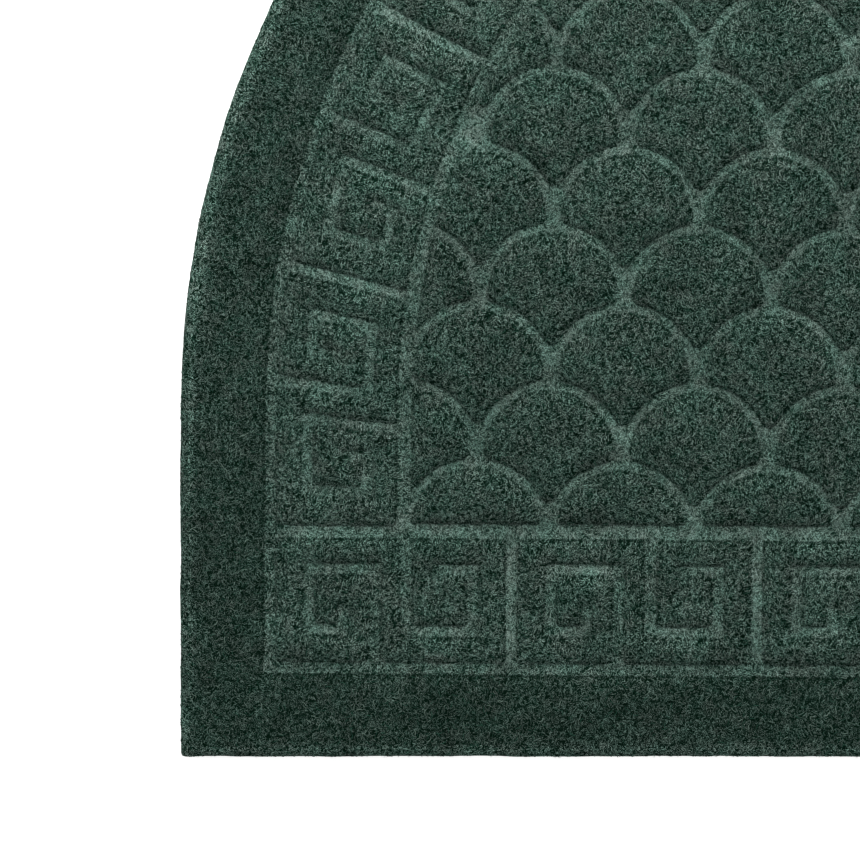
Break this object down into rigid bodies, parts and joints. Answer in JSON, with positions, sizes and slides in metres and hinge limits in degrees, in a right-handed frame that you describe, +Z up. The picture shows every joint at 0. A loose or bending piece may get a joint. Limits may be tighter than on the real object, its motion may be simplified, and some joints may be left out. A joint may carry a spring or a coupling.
{
  "type": "half-round doormat",
  "caption": "Flat half-round doormat of dark green needle-punched felt, with a Greek key border and a fish-scale centre pressed into the top.",
  "frame": {"origin": "middle of the box's underside: on the flat underside, half way along the straight edge's length and half way from the straight edge to the top of the arch", "axes": "+X along the straight edge, +Y from the straight edge towards the arch, +Z up out of the pressed face"},
  "size_m": [0.6, 0.409, 0.006],
  "materials": {
    "felt": "needle-punched polyester felt, matt, with a heat-pressed pattern"
  },
  "bodies": {
    "root": {"mat": "felt"}
  },
  "joints": []
}
